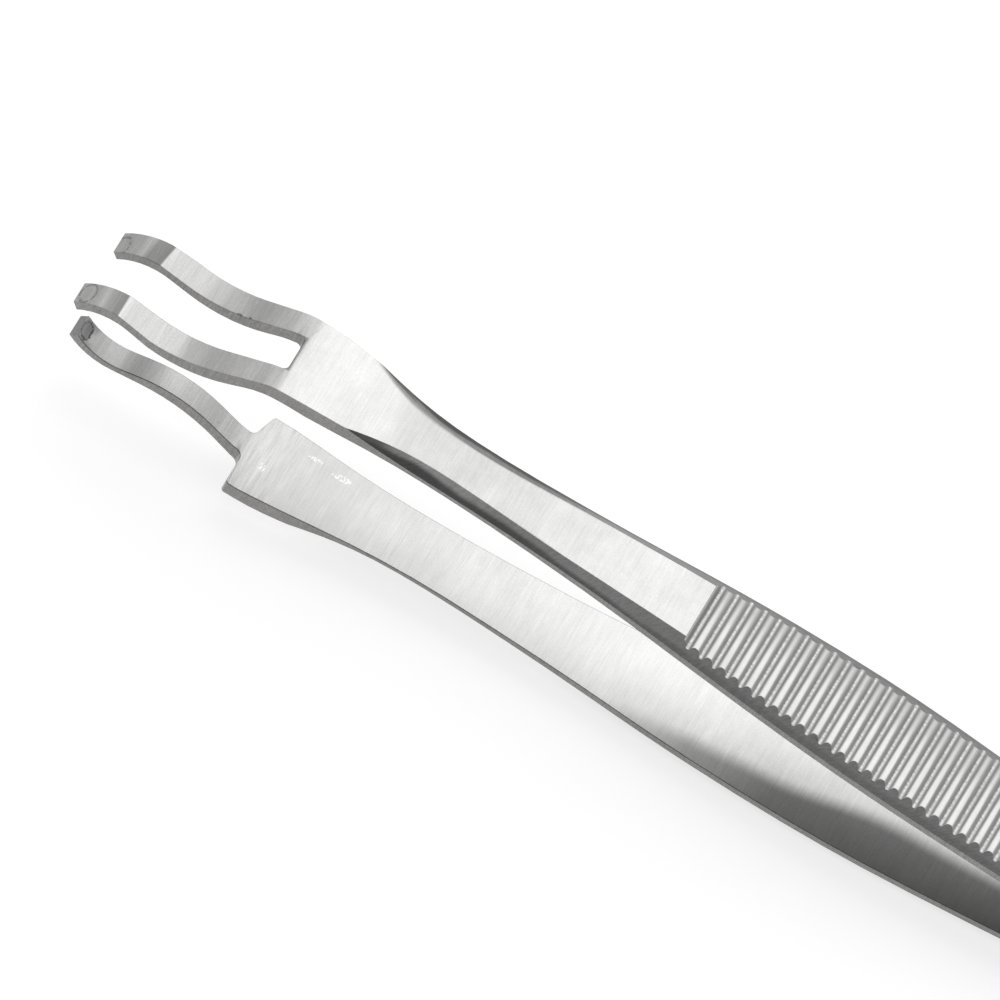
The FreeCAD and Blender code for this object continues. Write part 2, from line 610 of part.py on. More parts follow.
def lay_down(upper, lower):
    """Lay the tweezers on the lower arm's bowed back, as they balance there."""
    over = FreeCAD.Placement(FreeCAD.Vector(), FreeCAD.Rotation(FreeCAD.Vector(1, 0, 0), 180))
    own = {upper: FreeCAD.Placement(), lower: over}
    shapes = {body: body.Shape.Solids[0].copy() for body in own}
    for body, shape in shapes.items():
        shape.Placement = own[body]
    volume = sum(shape.Volume for shape in shapes.values())
    centre = FreeCAD.Vector()
    for shape in shapes.values():
        centre += shape.CenterOfMass * (shape.Volume / volume)
    to_bow = FreeCAD.Vector(size("back_crest_x") - centre.x, 0, -size("back_centre_z") - centre.z)
    tilt = FreeCAD.Rotation(FreeCAD.Vector(0, 1, 0), -math.degrees(math.atan2(to_bow.x, to_bow.z)))
    turned = FreeCAD.Placement(FreeCAD.Vector(), tilt)
    box = FreeCAD.BoundBox()
    for body, shape in shapes.items():
        shape.Placement = turned * own[body]
        box.add(shape.optimalBoundingBox(False, False))
    shift = FreeCAD.Vector(-box.Center.x, -box.Center.y, -box.ZMin)
    print(f"laid down: {math.degrees(tilt.Angle):.4f} degrees, {shift.x:.4f}, {shift.z:.4f} mm")
    for body in own:
        body.Placement = FreeCAD.Placement(shift, tilt) * own[body]


def check_and_export(bodies):
    for item in doc.Objects:
        if "Invalid" in item.State or "Error" in item.State:
            raise RuntimeError(f"{item.Name} failed: {item.State}")
    for body in bodies:
        shape = body.Shape
        if shape.isNull() or not shape.isValid() or len(shape.Solids) != 1:
            raise RuntimeError(f"{body.Label} isn't one valid solid")
        shape.exportStep(f"parts/{body.Label}.step")
        print(f"{body.Label}: {shape.Volume:.1f} mm3, {len(shape.Faces)} faces")


add_driving_sizes()
doc.recompute()
add_derived_sizes()
doc.recompute()
forked_arm = make_forked_arm()
single_arm = make_single_arm()
doc.recompute()
lay_down(forked_arm, single_arm)
doc.recompute()
check_and_export([forked_arm, single_arm])
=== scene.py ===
import bpy
import math
from mathutils import Matrix, Vector


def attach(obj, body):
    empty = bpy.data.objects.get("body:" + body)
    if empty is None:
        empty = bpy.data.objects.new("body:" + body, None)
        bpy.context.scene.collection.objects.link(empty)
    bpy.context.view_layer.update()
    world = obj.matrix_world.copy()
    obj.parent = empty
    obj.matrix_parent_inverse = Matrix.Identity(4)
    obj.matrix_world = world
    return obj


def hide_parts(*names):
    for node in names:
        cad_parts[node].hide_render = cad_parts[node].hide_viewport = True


# Three-claw holding tweezers in satin steel. The arms' own frame has X from the claw tips to
# the heel, Z = 0 between the arms and the outer face up, in millimetres. The tweezers lie on
# the lower arm's bow, so that frame is tilted and shifted in the scene, which is in metres.
MM = 0.001
LIE = math.radians(3.8429)
LIE_X = -65.0526
LIE_Z = 10.2751

# The outer face's bow and the grip on it, in the arms' own frame.
BOW_CREST_X = 28.0
BOW_RADIUS = 700.0
BOW_HEIGHT = 7.0304
GRIP_FROM = 55.9
GROOVE_PITCH = 1.3
GROOVES = 29
FIRST_GROOVE = 56.37
GRIP_TO = GRIP_FROM + GROOVES * GROOVE_PITCH

# How an arm's mesh is made finer. The waist's shallow bevel meets the plate at 22.6 degrees,
# and the facets of a round meet at less. The seam and the broken edge are in millimetres.
SEAM = 0.0002
FLAT_WITHIN = math.radians(0.5)
SHARP_FROM = math.radians(22.2)
BROKEN_EDGE = 0.06

# The view, in the arms' own frame: its height over their plane, its roll and its centre.
VIEW_TILT = math.radians(51.985)
VIEW_ROLL = math.radians(31.5)
VIEW_CENTRE = (37.46, 0.0, 5.1)
VIEW_WIDTH = 0.08
VIEW_DISTANCE = 3.0

# The light all round, and the floor's grey and its glow where it is seen.
WORLD_LIGHT = 0.6
FLOOR_GREY = 0.5
FLOOR_GLOW = 0.66

# Tones along the arms, as pairs of distance from the claw tips in millimetres and tone.
PLATE_TONES = [
    (18.0, 0.68), (20.0, 0.72), (26.0, 0.73), (28.5, 0.62), (33.0, 0.61), (38.0, 0.605),
    (42.0, 0.66), (50.0, 0.69), (130.0, 0.69)]
FAR_CLAW_TONES = [
    (0.0, 0.5), (1.1, 0.51), (1.9, 0.5), (2.5, 0.25), (3.66, 0.2), (3.84, 0.62), (4.4, 0.58),
    (7.0, 0.56), (8.8, 0.45), (10.3, 0.4), (12.5, 0.42), (15.3, 0.56), (17.2, 0.5), (18.3, 0.7)]
NEAR_CLAW_TONES = [
    (0.0, 0.52), (1.1, 0.54), (2.0, 0.55), (2.6, 0.33), (3.3, 0.235), (3.64, 0.22), (3.82, 0.68),
    (4.4, 0.6), (6.4, 0.6), (8.9, 0.555), (10.3, 0.38), (11.3, 0.4), (12.8, 0.47), (15.3, 0.56),
    (17.2, 0.46), (18.3, 0.7)]
SINGLE_CLAW_TONES = [(0.0, 0.5), (4.0, 0.5), (9.0, 0.55), (13.0, 0.5), (18.3, 0.6)]
INNER_CLAW_TONES = [
    (1.0, 0.35), (2.8, 0.39), (5.3, 0.44), (7.2, 0.29), (8.4, 0.36), (10.0, 0.52), (12.9, 0.44),
    (16.0, 0.56), (17.8, 0.5)]
INNER_PLATE_TONES = [
    (17.8, 0.58), (19.3, 0.63), (22.0, 0.6), (32.0, 0.64), (45.0, 0.71), (56.0, 0.76),
    (70.0, 0.7), (130.0, 0.68)]
# The bevels' band tones are painted shade, and the lower band is a darker painted reflection.
UPPER_BAND_SHADE_TONES = [
    (24.0, 0.1), (26.5, 0.14), (28.5, 0.31), (30.5, 0.345), (34.0, 0.32), (38.5, 0.285),
    (43.0, 0.275), (46.5, 0.3), (52.0, 0.27), (60.0, 0.245), (130.0, 0.25)]
LOWER_BAND_SHADE_TONES = [(24.0, 0.085), (38.0, 0.1), (46.0, 0.15), (60.0, 0.2), (130.0, 0.22)]

# Tones of single features; a pair is the darker and the lighter of a soft change.
PLAIN_TONE = 0.4
# The sides' pair is painted shade: the sides are kept darker than the faces, with a speckle.
SIDE_SHADE_TONES = (0.23, 0.38)
# Painted shade on the grip: ridges darker towards the far side, and the flanks and the first step
# darker.
RIDGE_SHADE_TONES = (0.5, 0.7)
GROOVE_FLOOR_TONES = (0.46, 0.68)
FLANK_SHADE_TONE = 0.42
FIRST_STEP_SHADE_TONE = 0.3
# Painted shade where the plate rolls into the far bevel.
FAR_ROLL_SHADE_TONE = 0.28
# Painted shade standing in for the slot end's broken edge.
SLOT_END_SHADE_TONE = 0.25
CLAW_OVAL_TONE = 0.12
BURR_TONE = 0.14
SCORCHED_TONE = 0.2
# The near black serves both the real burnt black on the seat and the painted shade line on the
# inner edge.
SOOT_AND_EDGE_SHADE_TONE = 0.05
RUB_TONE = 0.98

# How strongly the soft clouds show on each face.
OUTER_CLOUDS = 0.24
INNER_CLOUDS = 0.16
SIDE_CLOUDS = 0.1

# The steel's roughness, the spacing of its coarser grinding lines and their height in metres.
FACE_ROUGHNESS = 0.4
SIDE_ROUGHNESS = 0.5
COARSE_SPACING = 1.7
LINE_HEIGHT = 0.00001

# Strengths from 0 to 1 along the arms: of the inner face's dark reflection, of the painted shade
# line along the inner edge and of the ploughed lines by the single claw's shoulder.
SHADE_DEPTHS = [(51.0, 0.0), (56.0, 0.25), (62.0, 0.55), (70.0, 0.72), (130.0, 0.7)]
EDGE_SHADE_STRENGTHS = [
    (1.6, 0.0), (1.85, 0.95), (3.2, 0.7), (5.6, 0.7), (6.8, 1.0), (9.4, 1.0), (11.0, 0.8),
    (130.0, 0.85)]
PLOUGHED_STRENGTHS = [
    (17.9, 0.1), (18.3, 0.6), (20.8, 0.55), (21.6, 0.3), (27.0, 0.2), (60.0, 0.15)]

# Lines on the faces, in millimetres along the arms: the dark reflection's border, towards the
# near side, the plate's half width and the width of the painted shade where it rolls into the far
# bevel, and the bevels' upper edge and the split between their two painted shade bands, below the
# bow.
SHADE_BORDERS = [(50.0, 4.5), (56.0, 3.3), (61.0, 2.7), (67.0, 2.2), (78.5, 0.4), (130.0, -1.0)]
PLATE_HALF_WIDTHS = [
    (22.0, 3.8), (24.0, 3.65), (25.3, 3.3), (27.3, 2.7), (30.5, 2.14), (37.0, 2.2), (43.0, 2.5),
    (48.0, 2.7)]
ROLL_WIDTHS = [
    (22.5, 0.0), (23.7, 0.2), (25.3, 0.5), (27.3, 0.6), (30.5, 0.4), (37.0, 0.3), (44.0, 0.12),
    (47.0, 0.0)]
BEVEL_TOPS = [(24.0, 0.0), (29.0, 0.19), (35.0, 0.525), (43.0, 0.449), (49.5, 0.23), (56.0, 0.0)]
SHADE_SPLIT_DEPTHS = [
    (24.0, 0.0), (26.5, 0.02), (29.0, 0.2), (31.0, 0.25), (38.5, 0.29), (43.0, 0.33), (46.5, 0.45),
    (52.0, 0.6), (130.0, 0.6)]

# Marks, as centre x, centre y, half length and half width in millimetres.
CLAW_OVALS = [(0.75, -3.15, 0.55, 1.05), (1.0, 2.7, 0.55, 1.05)]
BURRS = [(11.95, 2.0, 0.22, 0.14), (12.85, 2.0, 0.12, 0.14)]
BURNT_RING = (2.12, -0.41, 0.48, 0.88)
BURNT_CRUST = (2.52, -0.5, 0.09, 0.62)
BURNT_BLOT = (2.15, 0.34, 0.26, 0.13)
RUBS = [(23.2, -2.5, 0.62, 0.24), (25.8, -2.1, 0.95, 0.3), (19.8, 0.9, 0.3, 0.5)]

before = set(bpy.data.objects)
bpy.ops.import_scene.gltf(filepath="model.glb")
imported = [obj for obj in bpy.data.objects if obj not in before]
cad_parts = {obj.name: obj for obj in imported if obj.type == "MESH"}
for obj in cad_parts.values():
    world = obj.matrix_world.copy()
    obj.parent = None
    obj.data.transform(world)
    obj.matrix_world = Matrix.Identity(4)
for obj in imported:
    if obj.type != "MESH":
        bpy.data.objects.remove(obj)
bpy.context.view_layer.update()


def placed(x, y, z):
    """A place in the arms' own frame, in millimetres, as a place in the scene."""
    across = math.cos(LIE) * x + math.sin(LIE) * z + LIE_X
    up = -math.sin(LIE) * x + math.cos(LIE) * z + LIE_Z
    return Vector((across, y, up)) * MM


class Wiring:
    """Adds and joins nodes in one tree; a number given for an input is written on its socket."""

    def __init__(self, tree):
        self.tree = tree

    def add(self, kind, *inputs, **settings):
        node = self.tree.nodes.new(kind)
        for name, value in settings.items():
            setattr(node, name, value)
        for socket, value in zip(node.inputs, inputs):
            self.feed(socket, value)
        return node

    def feed(self, socket, value):
        if value is None:
            return
        if isinstance(value, bpy.types.NodeSocket):
            self.tree.links.new(value, socket)
        else:
            socket.default_value = value

    def math(self, operation, *inputs, clamp=False):
        return self.add("ShaderNodeMath", *inputs, operation=operation, use_clamp=clamp).outputs[0]

    def product(self, *factors):
        result = factors[0]
        for factor in factors[1:]:
            result = self.math("MULTIPLY", result, factor)
        return result

    def between(self, value, low, high, start=0.0, end=1.0, rise="SMOOTHSTEP"):
        """start below low, end above high, and a smooth rise from one to the other."""
        inputs = (value, low, high, start, end)
        return self.add("ShaderNodeMapRange", *inputs, interpolation_type=rise).outputs[0]

    def window(self, value, low, high, soft):
        """1 inside low to high, and 0 outside."""
        rise = self.between(value, low - soft, low + soft)
        fall = self.between(value, high - soft, high + soft, 1.0, 0.0)
        return self.product(rise, fall)

    def blend(self, mask, under, over):
        """under where the mask is 0, over where it is 1, for numbers."""
        return self.add("ShaderNodeMix", mask, None, under, over, data_type="FLOAT").outputs[0]

    def split(self, vector):
        return self.add("ShaderNodeSeparateXYZ", vector).outputs

    def noise(self, vector, scale, detail, roughness):
        node = self.add("ShaderNodeTexNoise")
        self.feed(node.inputs["Vector"], vector)
        node.inputs["Scale"].default_value = scale
        node.inputs["Detail"].default_value = detail
        node.inputs["Roughness"].default_value = roughness
        return node.outputs["Fac"]

    def stretched_noise(self, x, y, z, x_scale, y_scale, detail, roughness):
        """Noise with its own scale along x and along y."""
        stretched = self.product(x, x_scale), self.product(y, y_scale), z
        place = self.add("ShaderNodeCombineXYZ", *stretched).outputs[0]
        return self.noise(place, 1.0, detail, roughness)

    def curve(self, value, points, bend="EASE"):
        """A number from 0 to 1 that runs through points, or near them where bend is B_SPLINE."""
        low, high = points[0][0], points[-1][0]
        node = self.add("ShaderNodeValToRGB", self.between(value, low, high, rise="LINEAR"))
        stops = node.color_ramp.elements
        node.color_ramp.interpolation = bend
        while len(stops) < len(points):
            stops.new(1.0)
        for stop, (at, number) in zip(stops, points):
            stop.position = (at - low) / (high - low)
            stop.color = (number, number, number, 1)
        return node.outputs["Color"]

    def wide_curve(self, value, points, bend="EASE"):
        """A curve for numbers from -5 to 5."""
        narrowed = [(at, number / 10.0 + 0.5) for at, number in points]
        return self.math("MULTIPLY_ADD", self.curve(value, narrowed, bend), 10.0, -5.0)


def set_camera():
    """A long lens from above the near side, turned so that the arms run down to the right."""
    along = Vector((1.0, 0.0, 0.0))
    away = Vector((0.0, math.sin(VIEW_TILT), math.cos(VIEW_TILT)))
    lie = Matrix.Rotation(LIE, 3, "Y")
    right = lie @ (along * math.cos(VIEW_ROLL) + away * math.sin(VIEW_ROLL))
    up = lie @ (away * math.cos(VIEW_ROLL) - along * math.sin(VIEW_ROLL))
    back = right.cross(up)
    data = bpy.data.cameras.new("view")
    camera = bpy.data.objects.new("view", data)
    bpy.context.scene.collection.objects.link(camera)
    data.sensor_width = 36.0
    data.lens = data.sensor_width * VIEW_DISTANCE / VIEW_WIDTH
    data.clip_start = 0.1
    data.clip_end = 50.0
    turn = Matrix((right, up, back)).transposed().to_4x4()
    camera.matrix_world = Matrix.Translation(placed(*VIEW_CENTRE) + back * VIEW_DISTANCE) @ turn
    bpy.context.scene.camera = camera


def add_lamp(name, place, width, height, power):
    """A rectangular lamp that shines on the middle of the tweezers and isn't seen itself."""
    data = bpy.data.lights.new(name, "AREA")
    data.shape = "RECTANGLE"
    data.size = width
    data.size_y = height
    data.energy = power
    lamp = bpy.data.objects.new(name, data)
    bpy.context.scene.collection.objects.link(lamp)
    lamp.location = place
    lamp.rotation_mode = "QUATERNION"
    lamp.rotation_quaternion = (-Vector(place)).to_track_quat("-Z", "Y")
    lamp.visible_camera = False


def set_studio():
    """Even light all round, one broad lamp over the far side, and a white floor."""
    world = bpy.data.worlds.new("studio")
    bpy.context.scene.world = world
    world.use_nodes = True
    world.node_tree.nodes["Background"].inputs["Color"].default_value = (1, 1, 1, 1)
    world.node_tree.nodes["Background"].inputs["Strength"].default_value = WORLD_LIGHT
    add_lamp("broad lamp", place=(0.0, 0.62, 0.79), width=1.1, height=1.0, power=2.9)
    bpy.context.scene.view_settings.view_transform = "Standard"

    bpy.ops.object.select_all(action="DESELECT")
    bpy.ops.mesh.primitive_plane_add(size=20.0, location=(0, 0, 0))
    floor = bpy.context.active_object
    floor.name = "floor"
    paint = bpy.data.materials.new("floor_white")
    paint.use_nodes = True
    w = Wiring(paint.node_tree)
    shader = paint.node_tree.nodes["Principled BSDF"]
    shader.inputs["Base Color"].default_value = (FLOOR_GREY, FLOOR_GREY, FLOOR_GREY, 1)
    shader.inputs["Roughness"].default_value = 1.0
    shader.inputs["Specular IOR Level"].default_value = 0.0
    shader.inputs["Emission Color"].default_value = (1, 1, 1, 1)
    rays = w.add("ShaderNodeLightPath").outputs
    seen = w.math("MAXIMUM", rays["Is Camera Ray"], rays["Is Glossy Ray"])
    seen = w.math("MAXIMUM", seen, rays["Is Transmission Ray"])
    w.feed(shader.inputs["Emission Strength"], w.product(seen, FLOOR_GLOW))
    floor.data.materials.append(paint)


def new_group(name, vector, numbers, gives):
    """A node group that takes a vector and numbers and gives numbers, and a Wiring in it."""
    tree = bpy.data.node_groups.new(name, "ShaderNodeTree")
    tree.interface.new_socket(vector, in_out="INPUT", socket_type="NodeSocketVector")
    for word in numbers:
        tree.interface.new_socket(word, in_out="INPUT", socket_type="NodeSocketFloat")
    for word in gives:
        tree.interface.new_socket(word, in_out="OUTPUT", socket_type="NodeSocketFloat")
    start = tree.nodes.new("NodeGroupInput")
    end = tree.nodes.new("NodeGroupOutput")
    return tree, Wiring(tree), start.outputs, end.inputs


def brushed_grain_group():
    """Fine grinding lines across the arm: a tone about 0 and a height for the bump."""
    tree, w, given, out = new_group("brushed grain", "Place", ["Line spacing"], ["Tone", "Height"])
    x, y, z = w.split(given["Place"])
    along = w.math("DIVIDE", x, given["Line spacing"])
    fine = w.stretched_noise(along, y, z, 9.0, 0.35, 3.0, 0.6)
    broad = w.stretched_noise(along, y, z, 2.2, 0.16, 2.0, 0.5)
    speck = w.stretched_noise(x, y, z, 9.0, 6.0, 2.0, 0.6)
    lines = w.math("ADD", w.product(fine, 0.5), w.product(broad, 0.25))
    lines = w.math("ADD", lines, w.product(speck, 0.45))
    w.feed(out["Tone"], w.math("SUBTRACT", lines, 0.6))
    w.feed(out["Height"], fine)
    return tree


def soft_clouds_group():
    """Broad soft mottling of a hand-finished face, as a tone about 0."""
    tree, w, given, out = new_group("soft clouds", "Place", [], ["Tone"])
    wide = w.noise(given["Place"], 0.22, 2.0, 0.55)
    small = w.noise(given["Place"], 0.75, 2.0, 0.5)
    tone = w.math("ADD", w.product(wide, 0.65), w.product(small, 0.35))
    w.feed(out["Tone"], w.math("SUBTRACT", tone, 0.5))
    return tree


def faces_group():
    """Which of the arm's faces a spot is on, from its normal in the arm's own frame."""
    gives = ["Outer", "Inner", "Side", "Bevel", "Edge"]
    tree, w, given, out = new_group("arm faces", "Normal", [], gives)
    x, y, z = w.split(given["Normal"])
    across = w.math("ABSOLUTE", y)
    w.feed(out["Outer"], w.between(z, 0.0, 0.3))
    w.feed(out["Inner"], w.between(z, -0.5, -0.2, 1.0, 0.0))
    w.feed(out["Side"], w.between(across, 0.72, 0.86))
    bevel = w.product(w.window(across, 0.24, 0.8, 0.05), w.between(z, 0.2, 0.4))
    w.feed(out["Bevel"], bevel)
    edge = w.product(w.window(across, 0.3, 0.93, 0.04), w.between(z, -0.3, -0.15, 1.0, 0.0))
    w.feed(out["Edge"], edge)
    return tree


def grooves_group():
    """The band given the ridges' tone, broader towards the near side, and its chattered groove
    floors.
    """
    gives = ["Grip", "Ridge", "Floor", "Chatter"]
    tree, w, given, out = new_group("grip grooves", "Place", ["Side"], gives)
    x, y, z = w.split(given["Place"])
    away = w.math("SUBTRACT", x, BOW_CREST_X)
    high = w.math("SUBTRACT", z, BOW_HEIGHT - BOW_RADIUS)
    along = w.product(w.math("ARCTAN2", away, high), BOW_RADIUS)
    past_first = w.math("SUBTRACT", along, FIRST_GROOVE - BOW_CREST_X)
    from_groove = w.math("PINGPONG", past_first, GROOVE_PITCH / 2)
    w.feed(out["Grip"], w.window(x, GRIP_FROM, GRIP_TO, 0.05))
    ridge_from = w.between(given["Side"], -4.2, 4.2, 0.56, 0.4)
    past_flank = w.math("SUBTRACT", from_groove, ridge_from)
    w.feed(out["Ridge"], w.between(past_flank, -0.1, 0.08))
    w.feed(out["Floor"], w.between(from_groove, 0.1, 0.16, 1.0, 0.0))
    bites = w.stretched_noise(x, y, z, 2.6, 5.2, 2.0, 0.6)
    w.feed(out["Chatter"], w.between(bites, 0.36, 0.64))
    return tree


def oval_group():
    """A ragged oval mark: its rim and what lies inside, from its centre and half sizes in plan."""
    numbers = ["Centre x", "Centre y", "Half x", "Half y", "Ragged"]
    tree, w, given, out = new_group("ground oval", "Place", numbers, ["Rim", "Inside"])
    x, y, z = w.split(given["Place"])
    across = w.math("DIVIDE", w.math("SUBTRACT", x, given["Centre x"]), given["Half x"])
    along = w.math("DIVIDE", w.math("SUBTRACT", y, given["Centre y"]), given["Half y"])
    reach = w.math("SQRT", w.math("ADD", w.product(across, across), w.product(along, along)))
    ragged = w.math("SUBTRACT", w.noise(given["Place"], 2.6, 3.0, 0.7), 0.5)
    reach = w.math("ADD", reach, w.product(ragged, given["Ragged"], 2.0))
    patchy = w.between(w.noise(given["Place"], 3.4, 2.0, 0.6), 0.38, 0.56)
    w.feed(out["Rim"], w.product(w.window(reach, 0.88, 1.1, 0.08), patchy))
    w.feed(out["Inside"], w.between(reach, 0.9, 1.05, 1.0, 0.0))
    return tree


class ArmSurface:
    """What the tones of one arm are worked out from: the place, the face and the patterns."""

    def __init__(self, tree, turned_over, groups):
        self.w = Wiring(tree)
        self.groups = groups
        turn = (math.pi if turned_over else 0.0, LIE, 0.0)
        spot = self.w.add("ShaderNodeTexCoord").outputs["Object"]
        own = self.w.add("ShaderNodeMapping", spot, vector_type="TEXTURE")
        own.inputs["Location"].default_value = (LIE_X * MM, 0.0, LIE_Z * MM)
        own.inputs["Rotation"].default_value = turn
        own.inputs["Scale"].default_value = (MM, MM, MM)
        normal = self.w.add("ShaderNodeNewGeometry").outputs["True Normal"]
        facing = self.w.add("ShaderNodeMapping", normal, vector_type="TEXTURE")
        facing.inputs["Rotation"].default_value = turn
        self.place = own.outputs[0]
        self.x, self.y, self.z = self.w.split(self.place)
        self.near = self.w.product(self.y, 1.0 if turned_over else -1.0)
        self.faces = self.use("faces", normal=facing.outputs[0])
        self.grain = self.use("grain", place=self.place, line_spacing=1.0)
        self.coarse = self.use("grain", place=self.place, line_spacing=COARSE_SPACING)
        self.clouds = self.use("clouds", place=self.place)["Tone"]

    def use(self, group, **values):
        """A shared group's outputs; its inputs are given by their names, as in line_spacing."""
        node = self.w.add("ShaderNodeGroup", node_tree=self.groups[group])
        for word, value in values.items():
            self.w.feed(node.inputs[word.replace("_", " ").capitalize()], value)
        return node.outputs

    def oval(self, mark, ragged):
        x, y, half_x, half_y = mark
        sizes = {"centre_x": x, "centre_y": y, "half_x": half_x, "half_y": half_y}
        return self.use("oval", place=self.place, ragged=ragged, **sizes)

    def below_bow(self):
        """How far the spot lies under the bowed outer face."""
        w = self.w
        away = w.math("SUBTRACT", self.x, BOW_CREST_X)
        bow = w.product(away, away, 0.5 / BOW_RADIUS)
        return w.math("SUBTRACT", w.math("SUBTRACT", BOW_HEIGHT, bow), self.z)


def outer_tone(arm, forked):
    """The outer face's bright satin, with the claws in bands of darker and lighter tone along
    their length.
    """
    w = arm.w
    plate = w.math("ADD", w.curve(arm.x, PLATE_TONES), w.product(arm.clouds, OUTER_CLOUDS))
    if forked:
        square_to_claw = w.math("SUBTRACT", arm.x, w.math("MULTIPLY_ADD", arm.y, 0.12, 0.5))
        far_claw = w.curve(square_to_claw, FAR_CLAW_TONES)
        near_claw = w.curve(arm.x, NEAR_CLAW_TONES)
        claws = w.blend(w.between(arm.near, -1.0, 1.0), far_claw, near_claw)
    else:
        claws = w.curve(arm.x, SINGLE_CLAW_TONES)
    return w.blend(w.between(arm.x, 17.6, 18.3, 1.0, 0.0), plate, claws)


def inner_tone(arm):
    """The inner face, greyer on the claws and with a dark soft reflection towards the heel."""
    w = arm.w
    claw = w.curve(arm.x, INNER_CLAW_TONES)
    plate = w.math("ADD", w.curve(arm.x, INNER_PLATE_TONES), w.product(arm.clouds, INNER_CLOUDS))
    past_border = w.math("SUBTRACT", arm.near, w.wide_curve(arm.x, SHADE_BORDERS))
    shade = w.product(w.between(past_border, -0.85, 1.15), w.curve(arm.x, SHADE_DEPTHS))
    plate = w.product(plate, w.math("SUBTRACT", 1.0, shade))
    return w.blend(w.between(arm.x, 17.6, 18.0, 1.0, 0.0), plate, claw)


def grip_laid_on(arm, tone):
    """The grip's ridges in painted shade darker towards the far side, its flanks and first step in
    painted shade, and its chattered floors.
    """
    w = arm.w
    grooves = arm.use("grooves", place=arm.place, side=arm.near)
    floors = w.blend(grooves["Chatter"], *GROOVE_FLOOR_TONES)
    # Painted shade: the flanks darker than ridges and floors, the ridges darker towards the far
    # side, the first step dark.
    flanks_and_floors = w.blend(grooves["Floor"], FLANK_SHADE_TONE, floors)
    ridge_shading = w.between(arm.near, -4.4, 1.2, *RIDGE_SHADE_TONES)
    ridges = w.math("ADD", ridge_shading, w.product(arm.clouds, OUTER_CLOUDS))
    grip = w.blend(grooves["Ridge"], flanks_and_floors, ridges)
    first_step_shade = w.between(arm.x, GRIP_FROM + 0.24, GRIP_FROM + 0.36, 1.0, 0.0)
    grip = w.blend(first_step_shade, grip, FIRST_STEP_SHADE_TONE)
    return w.blend(w.product(grooves["Grip"], arm.faces["Outer"]), tone, grip)


def far_roll_shade_laid_on(arm, tone):
    """A painted shade band where the plate rolls softly into the far bevel."""
    w = arm.w
    plate_edge = w.math("ADD", w.wide_curve(arm.x, PLATE_HALF_WIDTHS, "B_SPLINE"), arm.near)
    rolled = w.math("SUBTRACT", plate_edge, w.curve(arm.x, ROLL_WIDTHS, "B_SPLINE"))
    roll_shade_band = w.product(w.between(rolled, -0.3, 0.14, 1.0, 0.0), w.window(arm.x, 23.6, 46.0, 0.8))
    # Painted shade: a grey band on the outer face along the far edge.
    return w.blend(w.product(roll_shade_band, arm.faces["Outer"]), tone, FAR_ROLL_SHADE_TONE)


def bevel_shade_tone(arm):
    """Painted shade in two bands on a ground bevel, darkest at its foot as a painted reflection,
    with the grinding lines slanting across.
    """
    w = arm.w
    below_top = w.math("SUBTRACT", arm.below_bow(), w.curve(arm.x, BEVEL_TOPS))
    below_shade_split = w.math("SUBTRACT", below_top, w.curve(arm.x, SHADE_SPLIT_DEPTHS, "LINEAR"))
    upper = w.curve(arm.x, UPPER_BAND_SHADE_TONES)
    lower = w.curve(arm.x, LOWER_BAND_SHADE_TONES)
    tone = w.blend(w.between(below_shade_split, -0.1, 0.1), upper, lower)
    slant = w.math("ADD", arm.x, w.product(w.math("ABSOLUTE", arm.y), 1.2))
    lines = w.stretched_noise(slant, arm.x, arm.z, 7.0, 1.5, 2.0, 0.6)
    return w.product(tone, w.between(lines, 0.25, 0.75, 0.86, 1.14))


def sides_and_bevels_laid_on(arm, tone):
    """The upright sides and the bevels behind the waist in painted shade, and a painted shade line
    on the inner edge.
    """
    w = arm.w
    # Painted shade on the upright sides, speckled.
    speckled_side_shade = w.between(w.noise(arm.place, 8.0, 2.0, 0.6), 0.2, 0.8, *SIDE_SHADE_TONES)
    side = w.math("ADD", speckled_side_shade, w.product(arm.clouds, SIDE_CLOUDS))
    tone = w.blend(arm.faces["Side"], tone, side)
    # Painted shade on the ground bevels behind the waist.
    ground = w.product(arm.faces["Bevel"], w.between(arm.x, 23.6, 24.4))
    tone = w.blend(ground, tone, bevel_shade_tone(arm))
    ahead_of_grip = w.between(arm.x, 48.0, 50.0, 1.0, 0.0)
    on_inner_edge = w.math("MAXIMUM", ahead_of_grip, w.between(arm.below_bow(), 0.9, 1.1))
    # Painted shade: a near-black line on the broken edge facets below the inner face.
    edge_shade = w.product(arm.faces["Edge"], on_inner_edge, w.curve(arm.x, EDGE_SHADE_STRENGTHS))
    return w.blend(edge_shade, tone, SOOT_AND_EDGE_SHADE_TONE)


def fork_marks_laid_on(arm, tone):
    """A painted shade strip on the slot's end, the ovals over the seats and two burrs."""
    w = arm.w
    # Painted shade: a dark strip on the outer face by the slot's end, in place of a broken edge
    # turned away.
    slot_end_shade = w.product(
        w.between(arm.x, 17.6, 17.78, 1.0, 0.0), w.window(arm.y, -1.95, 1.95, 0.1),
        w.between(arm.x, 17.0, 17.3), arm.faces["Outer"])
    tone = w.blend(slot_end_shade, tone, SLOT_END_SHADE_TONE)
    for mark in CLAW_OVALS:
        ring = w.product(arm.oval(mark, 0.12)["Rim"], arm.faces["Outer"], 0.6)
        tone = w.blend(ring, tone, CLAW_OVAL_TONE)
    for mark in BURRS:
        burr = w.product(arm.oval(mark, 0.4)["Inside"], arm.faces["Outer"], 0.8)
        tone = w.blend(burr, tone, BURR_TONE)
    return tone


